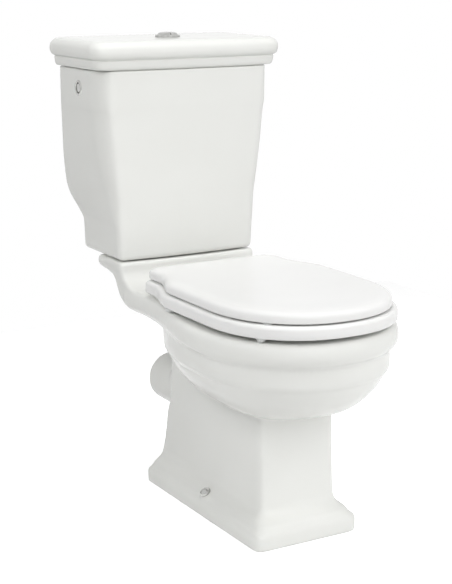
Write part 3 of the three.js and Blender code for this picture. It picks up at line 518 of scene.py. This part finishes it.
def make_seat_ring():
    def hole(grow):
        return egg(112 + grow, 698 + grow, 350 - grow, 540, 2.1)
    sections = [(z, tailed(RING, inset)) for z, inset in
                [(408.5, 8), (408.5, 4.6), (409.1, 2.2), (410.3, 0.7), (412, 0), (418, 0), (425, 0),
                 (427.2, 0.5), (429.1, 1.7), (430.6, 3.6), (431.3, 5.6), (431.5, 8), (431.5, 12)]]
    sections += [(z, hole(grow)) for z, grow in
                 [(431.5, 18), (431.4, 12.5), (430.8, 8.4), (429.5, 5.4), (427.3, 3.2), (424.5, 1.6),
                  (421, 0.6), (416, 0), (412, 0.8), (410, 2.2), (408.8, 4), (408.5, 7)]]
    ring = thing("seat_ring_moulding", tower(sections, 280, closed=True))
    return shade(combine(ring, hinge_notches() + hinge_bores()))


def make_seat_lid():
    under = [(435.2, 28), (435.2, 14), (434.9, 11.5), (434.2, 10), (434, 8), (434, 3.4),
             (434.5, 1.6), (435.4, 0.5), (436.5, 0)]
    over = eased([(436.5, 0), (442, 0), (446, 0.5), (449, 2), (451.3, 4.8), (453, 9), (454, 15),
                  (454.7, 22), (455, 30)], 3)[1:]
    lid = thing("seat_lid_moulding", tower([(z, tailed(LID, inset)) for z, inset in under + over], 280))
    combine(lid, [lid_lug(x) for x in LUGS], "UNION")
    return shade(combine(lid, hinge_bores()))


def lid_lug(x):
    """An ear under the lid that the hinge pin passes through."""
    foot = crossbar(x, x + 10, HINGE_FROM_WALL, HINGE_Z, 7, 32)
    ear = thing("ear", foot)
    combine(ear, [block(x, x + 10, HINGE_FROM_WALL - 7, HINGE_FROM_WALL + 7, HINGE_Z, 437.5)], "UNION")
    bm = bmesh.new()
    bm.from_mesh(ear.data)
    bpy.data.objects.remove(ear)
    return bm


def make_buffer(name, x, from_wall, heading, low, high, length, width, foot=0.6):
    """A soft pad under the seat, longer one way than the other and smaller at its foot."""
    rise = high - low
    profile = [(0, low), (width * foot, low), (width * (foot + 0.12), low + 0.06 * rise),
               (width * (foot + 0.5) / 1.5, low + 0.22 * rise), (width * 0.93, low + 0.45 * rise),
               (width * 0.99, low + 0.72 * rise), (width, low + 0.9 * rise), (width * 0.97, high),
               (0, high)]
    bm = spun(profile, 48)
    bmesh.ops.scale(bm, vec=(length / width, 1, 1), verts=bm.verts)
    turn = Matrix.Translation(at(x, from_wall, 0)) @ Matrix.Rotation(heading, 4, "Z")
    return shade(thing(name, moved(bm, turn)), 50)


# ---- metal trim ----
def make_bezel():
    rim = [(20.2, 848), (22.5, 848), (22.5, 870.6), (22.7, 870.8), (24.5, 870.8), (24.8, 871.1),
           (24.85, 871.9), (24.5, 873), (23.8, 874), (22.9, 874.8), (21.9, 875.2), (21.1, 875.1),
           (20.5, 874.7), (20.2, 874)]
    middle = Matrix.Translation(at(0, BUTTON_FROM_WALL, 0))
    bezel = thing("button_surround", moved(spun(rim, 96), middle))
    floor = post(0, BUTTON_FROM_WALL, 846, 849, 22, 64)
    holes = [post(side * ROD_X, BUTTON_FROM_WALL, 840, 860, 3.6, 24) for side in (-1, 1)]
    return shade(combine(combine(bezel, [floor], "UNION"), holes), 40)


def make_button(name, side):
    crown = [(0, 868), (18.7, 868), (19.1, 868.4), (19.1, 876), (18.9, 876.9), (18.3, 877.7),
             (17, 878.4), (14, 879.35), (9, 879.8), (4, 879.97), (0, 880)]
    disc = moved(spun(crown, 96), Matrix.Translation(at(0, BUTTON_FROM_WALL, 0)))
    edge = BUTTON_SPLIT + side * SPLIT_GAP
    keep = block(edge, 25, 90, 150, 860, 890) if side > 0 else block(-25, edge, 90, 150, 860, 890)
    button = combine(thing(name, disc), [keep], "INTERSECT")
    combine(button, [post(side * ROD_X, BUTTON_FROM_WALL, 860, 873, 3.2, 24)])
    soften = button.modifiers.new("soften", "BEVEL")
    soften.width = 0.35 * MM
    soften.segments = 2
    soften.limit_method = "ANGLE"
    soften.angle_limit = math.radians(50)
    return shade(apply_modifiers(button), 40)


def make_spring(name, side):
    """The coil under a push button, round its rod."""
    bm = bmesh.new()
    upright = (Matrix.Translation((SPRING_RADIUS * MM, 0, SPRING_LOW * MM))
               @ Matrix.Rotation(math.pi / 2, 4, "X"))
    wire = bmesh.ops.create_circle(bm, segments=12, radius=SPRING_WIRE * MM, matrix=upright)["verts"]
    steps = 160
    bmesh.ops.spin(bm, geom=wire + list(bm.edges), axis=(0, 0, 1), cent=(0, 0, 0),
                   dvec=(0, 0, (SPRING_HIGH - SPRING_LOW) * MM / steps),
                   angle=SPRING_TURNS * 2 * math.pi, steps=steps)
    bmesh.ops.holes_fill(bm, edges=[e for e in bm.edges if e.is_boundary])
    bmesh.ops.recalc_face_normals(bm, faces=bm.faces)
    return shade(thing(name, moved(bm, Matrix.Translation(at(side * ROD_X, BUTTON_FROM_WALL, 0)))))


def make_side_cap():
    """The blanking cap in the cistern's left side, where the water inlet isn't used."""
    profile = [(0, 1.3), (7.4, 1.3), (8.1, 0.9), (8.3, 0), (8.3, -3.6), (10.5, -3.6), (10.5, 0.8),
               (10.8, 1.6), (11.6, 2.3), (12.8, 2.6), (14, 2.3), (14.8, 1.4), (15, 0.7), (14.7, 0.3),
               (11.2, 0.3), (11.2, -4.4), (9, -4.4), (9, -25.5), (0, -25.5)]
    turn = Matrix.Translation(at(-185.5, CAP_FROM_WALL, CAP_Z)) @ Matrix.Rotation(
        math.radians(-90), 4, "Y")
    return shade(thing("inlet_cap", moved(spun(profile, 72), turn)), 40)


def make_cap_fastening(name, x0, x1, radius, bore, sides):
    """A ring on the blanking cap's stem, inside the cistern."""
    ring = thing(name, crossbar(x0, x1, CAP_FROM_WALL, CAP_Z, radius, sides))
    return shade(combine(ring, [crossbar(x0 - 5, x1 + 5, CAP_FROM_WALL, CAP_Z, bore)]), 40)


def make_fixing_cap(name, side):
    """A chrome cover over the head of the screw that holds the pan to the floor."""
    profile = [(0, 5.5), (3.5, 5.3), (5.6, 4.6), (6.8, 4.1), (7.6, 4.3), (8.3, 5), (9.2, 5.2), (10, 4.5),
               (10.5, 3.2), (10.5, 1.2), (10.1, 0.3), (7.2, 0.3), (7, 0.6), (7, 3.4), (0, 3.4)]
    axis = (fixing_point(side, -1) - fixing_point(side, 0)).normalized()
    turn = (Matrix.Translation(fixing_point(side, 0)) @ axis.to_track_quat("Z", "Y").to_matrix().to_4x4())
    return shade(thing(name, moved(spun(profile, 56), turn)), 40)


# ---- finishes ----
def new_group(name, outputs, inputs=()):
    group = bpy.data.node_groups.new(name, "ShaderNodeTree")
    for label, kind, value in inputs:
        socket = group.interface.new_socket(label, in_out="INPUT", socket_type=kind)
        socket.default_value = value
    for label, kind in outputs:
        group.interface.new_socket(label, in_out="OUTPUT", socket_type=kind)
    nodes, links = group.nodes, group.links
    return group, nodes, links, nodes.new("NodeGroupInput"), nodes.new("NodeGroupOutput")


def glaze_group():
    """The slight unevenness of a fired glaze: a slow swell, and a fine orange peel."""
    group, nodes, links, _, made = new_group(
        "glaze_swell", [("Normal", "NodeSocketVector"), ("Tone", "NodeSocketFloat")])
    where = nodes.new("ShaderNodeTexCoord")
    swell = nodes.new("ShaderNodeTexNoise")
    swell.inputs["Scale"].default_value = 9
    swell.inputs["Detail"].default_value = 1
    peel = nodes.new("ShaderNodeTexNoise")
    peel.inputs["Scale"].default_value = 160
    peel.inputs["Detail"].default_value = 2
    links.new(where.outputs["Object"], swell.inputs["Vector"])
    links.new(where.outputs["Object"], peel.inputs["Vector"])
    slow = nodes.new("ShaderNodeBump")
    slow.inputs["Strength"].default_value = 0.35
    slow.inputs["Distance"].default_value = 0.0012
    fine = nodes.new("ShaderNodeBump")
    fine.inputs["Strength"].default_value = 0.12
    fine.inputs["Distance"].default_value = 0.0002
    links.new(swell.outputs["Fac"], slow.inputs["Height"])
    links.new(peel.outputs["Fac"], fine.inputs["Height"])
    links.new(slow.outputs["Normal"], fine.inputs["Normal"])
    links.new(fine.outputs["Normal"], made.inputs["Normal"])
    links.new(swell.outputs["Fac"], made.inputs["Tone"])
    return group


def grain_and_sheen_group():
    """Fine surface grain for plastic, rubber and metal. Its tone is real grain on plastic and rubber, and
    painted reflection on chrome.
    """
    group, nodes, links, given, made = new_group(
        "grain_and_painted_sheen", [("Normal", "NodeSocketVector"), ("Tone", "NodeSocketFloat")],
        [("Scale", "NodeSocketFloat", 400.0), ("Depth", "NodeSocketFloat", 0.2)])
    where = nodes.new("ShaderNodeTexCoord")
    grain = nodes.new("ShaderNodeTexNoise")
    grain.inputs["Detail"].default_value = 3
    links.new(where.outputs["Object"], grain.inputs["Vector"])
    links.new(given.outputs["Scale"], grain.inputs["Scale"])
    bump = nodes.new("ShaderNodeBump")
    bump.inputs["Distance"].default_value = 0.0003
    links.new(given.outputs["Depth"], bump.inputs["Strength"])
    links.new(grain.outputs["Fac"], bump.inputs["Height"])
    links.new(bump.outputs["Normal"], made.inputs["Normal"])
    links.new(grain.outputs["Fac"], made.inputs["Tone"])
    return group


GLAZE = glaze_group()
GRAIN_AND_SHEEN = grain_and_sheen_group()


def new_material(name, roughness, metallic=0.0):
    material = bpy.data.materials.new(name)
    material.use_nodes = True
    nodes, links = material.node_tree.nodes, material.node_tree.links
    shader = nodes["Principled BSDF"]
    shader.inputs["Roughness"].default_value = roughness
    shader.inputs["Metallic"].default_value = metallic
    return material, nodes, links, shader


def toned(nodes, links, source, shader, dark, light):
    """Colour that wanders between two close tones."""
    ramp = nodes.new("ShaderNodeMix")
    ramp.data_type = "RGBA"
    ramp.inputs["A"].default_value = (*dark, 1)
    ramp.inputs["B"].default_value = (*light, 1)
    links.new(source, ramp.inputs["Factor"])
    links.new(ramp.outputs["Result"], shader.inputs["Base Color"])


def glazed(name, dark, light, roughness, coat):
    material, nodes, links, shader = new_material(name, roughness)
    group = nodes.new("ShaderNodeGroup")
    group.node_tree = GLAZE
    toned(nodes, links, group.outputs["Tone"], shader, dark, light)
    links.new(group.outputs["Normal"], shader.inputs["Normal"])
    shader.inputs["Specular IOR Level"].default_value = 0.14
    shader.inputs["Coat Weight"].default_value = coat
    shader.inputs["Coat Roughness"].default_value = 0.04
    return material


def grain_and_sheen_finish(name, dark, light, roughness, scale, depth, metallic=0.0):
    material, nodes, links, shader = new_material(name, roughness, metallic)
    group = nodes.new("ShaderNodeGroup")
    group.node_tree = GRAIN_AND_SHEEN
    group.inputs["Scale"].default_value = scale
    group.inputs["Depth"].default_value = depth
    toned(nodes, links, group.outputs["Tone"], shader, dark, light)
    links.new(group.outputs["Normal"], shader.inputs["Normal"])
    return material


CERAMIC = glazed("glazed_ceramic", (0.80, 0.805, 0.775), (0.83, 0.835, 0.81), 0.16, 0.04)
SEAT = glazed("gloss_seat_plastic", (0.83, 0.83, 0.82), (0.86, 0.86, 0.85), 0.22, 0.06)
# On chrome the wide, coarse, blotchy tone is painted reflection: bright streaks and dark patches stand in
# for a mirrored studio.
CHROME = grain_and_sheen_finish("polished_chrome", (0.36, 0.36, 0.35), (0.66, 0.66, 0.64), 0.12, 110, 0.03, 1.0)
STEEL = grain_and_sheen_finish("plain_steel", (0.42, 0.42, 0.42), (0.52, 0.52, 0.52), 0.32, 500, 0.15, 1.0)
BRASS = grain_and_sheen_finish("plain_brass", (0.52, 0.38, 0.14), (0.62, 0.47, 0.20), 0.34, 300, 0.15, 1.0)
WHITE_PLASTIC = grain_and_sheen_finish("white_plastic", (0.74, 0.75, 0.74), (0.80, 0.81, 0.80), 0.45, 500, 0.2)
GREY_PLASTIC = grain_and_sheen_finish("grey_plastic", (0.24, 0.26, 0.27), (0.29, 0.31, 0.32), 0.5, 500, 0.2)
BLUE_PLASTIC = grain_and_sheen_finish("blue_plastic", (0.06, 0.14, 0.29), (0.08, 0.18, 0.35), 0.5, 500, 0.2)
RUBBER = grain_and_sheen_finish("black_rubber", (0.016, 0.017, 0.018), (0.03, 0.03, 0.032), 0.75, 700, 0.4)
BUFFER = grain_and_sheen_finish("pale_rubber", (0.68, 0.69, 0.68), (0.74, 0.75, 0.74), 0.6, 700, 0.3)
FINISHES = {"ceramic": CERAMIC, "seat_plastic": SEAT, "chrome": CHROME, "steel": STEEL, "brass": BRASS,
            "white_plastic": WHITE_PLASTIC, "grey_plastic": GREY_PLASTIC, "blue_plastic": BLUE_PLASTIC,
            "rubber": RUBBER, "buffer_rubber": BUFFER}


replaced = set()


def dress(piece, finish, body, *nodes):
    """Gives a piece its finish and body, and notes the CAD nodes that it stands for."""
    piece.data.materials.clear()
    piece.data.materials.append(FINISHES[finish])
    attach(piece, body)
    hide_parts(*nodes)
    replaced.update(nodes)


# ---- the object ----
dress(make_pan(), "ceramic", "pan_and_cistern", "pan")
dress(make_cistern(), "ceramic", "pan_and_cistern", "cistern_body")
dress(make_cistern_lid(), "ceramic", "cistern_lid", "cistern_lid")
dress(make_seat_ring(), "seat_plastic", "seat_ring", "seat_ring")
dress(make_seat_lid(), "seat_plastic", "seat_lid", "seat_lid")
dress(make_bezel(), "chrome", "cistern_lid", "button_bezel")
dress(make_button("small_flush_button", -1), "chrome", "half_flush_button", "half_flush_button")
dress(make_button("large_flush_button", 1), "chrome", "full_flush_button", "full_flush_button")
dress(make_side_cap(), "chrome", "pan_and_cistern", "side_cap")
dress(make_cap_fastening("inlet_cap_washer", -175.8, -172.9, 16, 9.4, 48), "rubber", "pan_and_cistern",
      "side_cap_washer")
dress(make_cap_fastening("inlet_cap_nut", -172.5, -166.1, 15, 9.3, 6), "white_plastic", "pan_and_cistern",
      "side_cap_nut")
dress(make_fixing_cap("left_fixing_cap", -1), "chrome", "pan_and_cistern", "fixing_screw_cap_left")
dress(make_fixing_cap("right_fixing_cap", 1), "chrome", "pan_and_cistern", "fixing_screw_cap_right")
for side, which in ((-1, "half"), (1, "full")):
    spring = make_spring(f"{which}_button_coil", side)
    dress(spring, "steel", "cistern_lid", f"{which}_flush_spring")
    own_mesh(spring)

for side, hand in ((-1, "left"), (1, "right")):
    outwards = math.atan2(-0.85, side * 0.53)
    dress(make_buffer(f"front_seat_pad_{hand}", side * 129, 684.5, outwards, 400.4, 408.2, 15, 9),
          "buffer_rubber", "seat_ring", f"ring_buffer_front_{hand}")
    dress(make_buffer(f"back_seat_pad_{hand}", side * 162, 430, 0, 400.4, 408.2, 12, 10, 0.5),
          "buffer_rubber", "seat_ring", f"ring_buffer_back_{hand}")
    dress(make_buffer(f"lid_pad_{hand}", side * 121.5, 693.5, outwards, 431.8, 433.7, 10, 9, 0.85),
          "buffer_rubber", "seat_lid", f"lid_buffer_{hand}")

for part in frame["record"]["subparts"]:
    if part["node"] not in replaced:
        node = frame["nodes"][part["node"]]
        for place in node.material_slots:
            place.link = "OBJECT"
            place.material = FINISHES[part["material_slot"]]


# ---- floor, light and background ----
def seen_directly(nodes, links):
    """1 for rays from the camera, mirrored ones and ones through glass; 0 for light on the object."""
    path = nodes.new("ShaderNodeLightPath")
    seen = path.outputs["Is Camera Ray"]
    for kind in ("Is Glossy Ray", "Is Transmission Ray"):
        either = nodes.new("ShaderNodeMath")
        either.operation = "MAXIMUM"
        links.new(seen, either.inputs[0])
        links.new(path.outputs[kind], either.inputs[1])
        seen = either.outputs[0]
    return seen


def make_floor():
    bm = bmesh.new()
    bmesh.ops.create_grid(bm, x_segments=1, y_segments=1, size=1.4)
    floor = thing("floor", bm)
    material = bpy.data.materials.new("white_floor")
    material.use_nodes = True
    nodes, links = material.node_tree.nodes, material.node_tree.links
    shader = nodes["Principled BSDF"]
    shader.inputs["Base Color"].default_value = (0.9, 0.9, 0.9, 1)
    shader.inputs["Roughness"].default_value = 0.9
    shader.inputs["Specular IOR Level"].default_value = 0
    glow = nodes.new("ShaderNodeEmission")
    glow.inputs["Strength"].default_value = 0.6
    both = nodes.new("ShaderNodeAddShader")
    choose = nodes.new("ShaderNodeMixShader")
    links.new(shader.outputs[0], both.inputs[0])
    links.new(glow.outputs[0], both.inputs[1])
    links.new(seen_directly(nodes, links), choose.inputs["Fac"])
    links.new(shader.outputs[0], choose.inputs[1])
    links.new(both.outputs[0], choose.inputs[2])
    links.new(choose.outputs[0], nodes["Material Output"].inputs["Surface"])
    floor.data.materials.append(material)


def make_world():
    world = bpy.data.worlds.new("studio")
    world.use_nodes = True
    nodes, links = world.node_tree.nodes, world.node_tree.links
    light = nodes["Background"]
    light.inputs["Color"].default_value = (1, 1, 1, 1)
    light.inputs["Strength"].default_value = 0.02
    white = nodes.new("ShaderNodeBackground")
    white.inputs["Color"].default_value = (1, 1, 1, 1)
    white.inputs["Strength"].default_value = 1
    choose = nodes.new("ShaderNodeMixShader")
    links.new(seen_directly(nodes, links), choose.inputs["Fac"])
    links.new(light.outputs[0], choose.inputs[1])
    links.new(white.outputs[0], choose.inputs[2])
    links.new(choose.outputs[0], nodes["World Output"].inputs["Surface"])
    bpy.context.scene.world = world


def lamp(name, place, size, power):
    """A square soft light turned to the middle of the object."""
    data = bpy.data.lights.new(name, "AREA")
    data.shape = "SQUARE"
    data.size = size
    data.energy = power
    made = bpy.data.objects.new(name, data)
    made.location = place
    made.rotation_euler = (Vector(LIGHT_AIM) - Vector(place)).to_track_quat("-Z", "Y").to_euler()
    made.visible_glossy = False
    bpy.context.scene.collection.objects.link(made)


make_floor()
make_world()
lamp("overhead_softbox", (0, -0.3, 3.2), 2.0, 31)
lamp("left_softbox", (-2.2, -0.3, 2.0), 1.6, 34)
lamp("front_left_softbox", (-1.9, -2.2, 2.4), 2.0, 23)
lamp("front_right_softbox", (1.7, -2.3, 2.4), 2.0, 49)
lamp("low_right_softbox", (1.6, -3.0, 0.9), 2.0, 23)
lamp("low_front_panel", (0, -2.6, 0.35), 1.2, 6)
